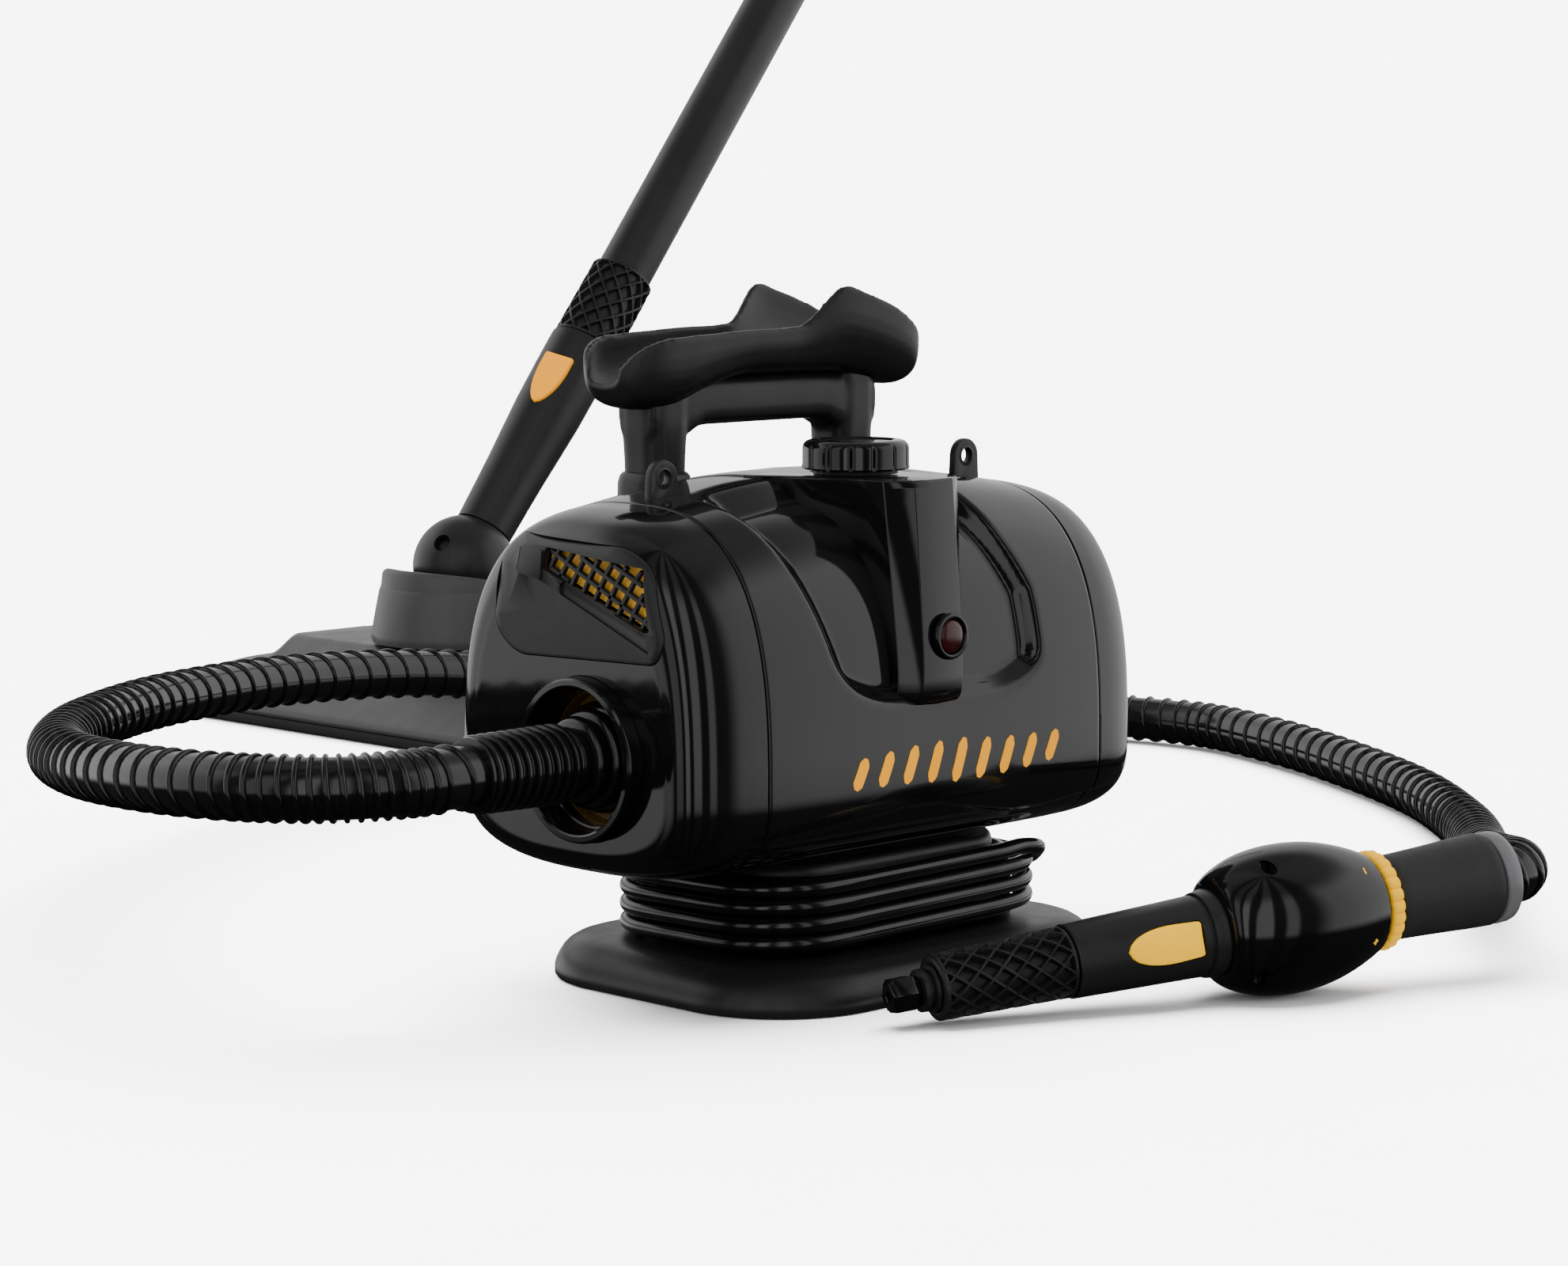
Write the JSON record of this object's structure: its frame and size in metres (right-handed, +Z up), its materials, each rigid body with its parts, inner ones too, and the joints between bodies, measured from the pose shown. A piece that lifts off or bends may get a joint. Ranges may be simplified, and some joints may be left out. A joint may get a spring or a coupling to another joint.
{
  "type": "steam_cleaner",
  "caption": "Black canister steam cleaner with filler cap, steam hose and gun, wound mains cable, tool-cradle handle, and a floor head on a swivelling wand",
  "frame": {"origin": "centre of the base plate's underside, on the floor; the front face looks to -Y and the hose port to -X", "axes": "X along the canister's length, Y from front to back, Z up"},
  "size_m": [1.431, 1.2686, 0.9542],
  "materials": {
    "gloss_black": "gloss black moulded shell",
    "satin_black": "satin black moulded plastic",
    "soft_grip": "soft-touch grip",
    "grey_collar": "light grey moulded collar",
    "dark_grey": "satin dark grey moulded plastic",
    "yellow": "yellow moulded plastic",
    "amber": "amber plastic mesh",
    "red_lens": "dark red translucent lens",
    "rubber": "black flexible rubber or PVC",
    "steel": "plain steel",
    "cast": "cast aluminium",
    "brass": "machined brass"
  },
  "bodies": {
    "canister": {"base_plate": "satin_black", "boiler": "cast", "centre_shell": "gloss_black", "cord_gland": "rubber", "filler_neck": "brass", "foot_pad_1": "rubber", "foot_pad_2": "rubber", "foot_pad_3": "rubber", "foot_pad_4": "rubber", "gun_barrel": "satin_black", "gun_end_collar": "grey_collar", "gun_grip": "soft_grip", "gun_heat_guard": "satin_black", "gun_nozzle": "satin_black", "gun_screw_1": "steel", "gun_screw_2": "steel", "gun_shell_bottom": "gloss_black", "gun_shell_top": "gloss_black", "gun_spindle": "brass", "gun_steam_tube": "steel", "gun_valve": "brass", "handle": "satin_black", "heating_element": "steel", "hose_boot": "rubber", "hose_port_ring": "gloss_black", "indicator_bezel": "satin_black", "indicator_lens": "red_lens", "left_end_shell": "gloss_black", "left_vent_cover": "satin_black", "mains_cord_winding": "rubber", "mains_lead": "rubber", "mains_plug": "rubber", "neck_pedestal": "satin_black", "plug_blade_1": "brass", "plug_blade_2": "brass", "right_end_shell": "gloss_black", "safety_valve": "brass", "steam_hose": "rubber", "steam_outlet_pipe": "brass", "strap_lug_left": "satin_black", "strap_lug_right": "satin_black", "thermostat": "steel", "tool_cradle": "satin_black", "vent_screen": "amber"},
    "cap_lift": {"cap_gasket": "rubber"},
    "cap": {"filler_cap": "gloss_black"},
    "trigger": {"steam_trigger": "satin_black"},
    "dial": {"steam_dial": "yellow"},
    "gun_button": {"gun_lock_button": "yellow"},
    "floor_head": {"head_sole": "dark_grey", "head_cover": "dark_grey"},
    "swivel": {"swivel_collar": "dark_grey"},
    "wand": {"ball_joint": "satin_black", "neck_tube": "satin_black", "wand_heat_guard": "satin_black", "wand_socket": "dark_grey", "lower_tube": "satin_black", "upper_tube": "satin_black", "wand_top_collar": "satin_black"},
    "wand_button": {"wand_lock_button": "yellow"}
  },
  "joints": [
    {"name": "cap_rise", "type": "slide", "parent": "canister", "child": "cap_lift", "axis": [0, 0, 1], "range_m": [0, 0.008]},
    {"name": "cap_turn", "type": "hinge", "parent": "cap_lift", "child": "cap", "pos_m": [-0.019, -0.036, 0.248], "axis": [0, 0, 1], "range_deg": [0, 720.1]},
    {"name": "trigger_pull", "type": "hinge", "parent": "canister", "child": "trigger", "pos_m": [0.10408, -0.17446, 0.03041], "axis": [0.0297, -0.1922, -0.9809], "range_deg": [0, 7], "stiffness_Nm_per_rad": 0.6, "springref_deg": -8.59},
    {"name": "dial_turn", "type": "hinge", "parent": "canister", "child": "dial", "pos_m": [0.14261, -0.221, 0.0407], "axis": [0.9216, -0.3748, 0.1014], "range_deg": [-60, 60]},
    {"name": "gun_button_press", "type": "slide", "parent": "canister", "child": "gun_button", "axis": [0.3871, 0.907, -0.166], "range_m": [0, 0.0018], "stiffness_N_per_m": 300, "springref_m": -0.002},
    {"name": "head_slide", "type": "slide", "parent": "canister", "child": "floor_head", "axis": [0, 1, 0], "range_m": [0, 0.2]},
    {"name": "swivel_turn", "type": "hinge", "parent": "floor_head", "child": "swivel", "pos_m": [0.431, 0.777, 0.06], "axis": [0, 0, 1], "range_deg": [-50, 50]},
    {"name": "wand_tilt", "type": "hinge", "parent": "swivel", "child": "wand", "pos_m": [0.431, 0.777, 0.108], "axis": [0, 1, 0], "range_deg": [-36, 25]},
    {"name": "wand_button_press", "type": "slide", "parent": "wand", "child": "wand_button", "axis": [0.7284, 0.3963, -0.5589], "range_m": [0, 0.0018], "stiffness_N_per_m": 300, "springref_m": -0.002}
  ],
  "couplings": [
    {"joint": "cap_turn", "follows": "cap_rise", "rad_per_m": 1570.8}
  ]
}
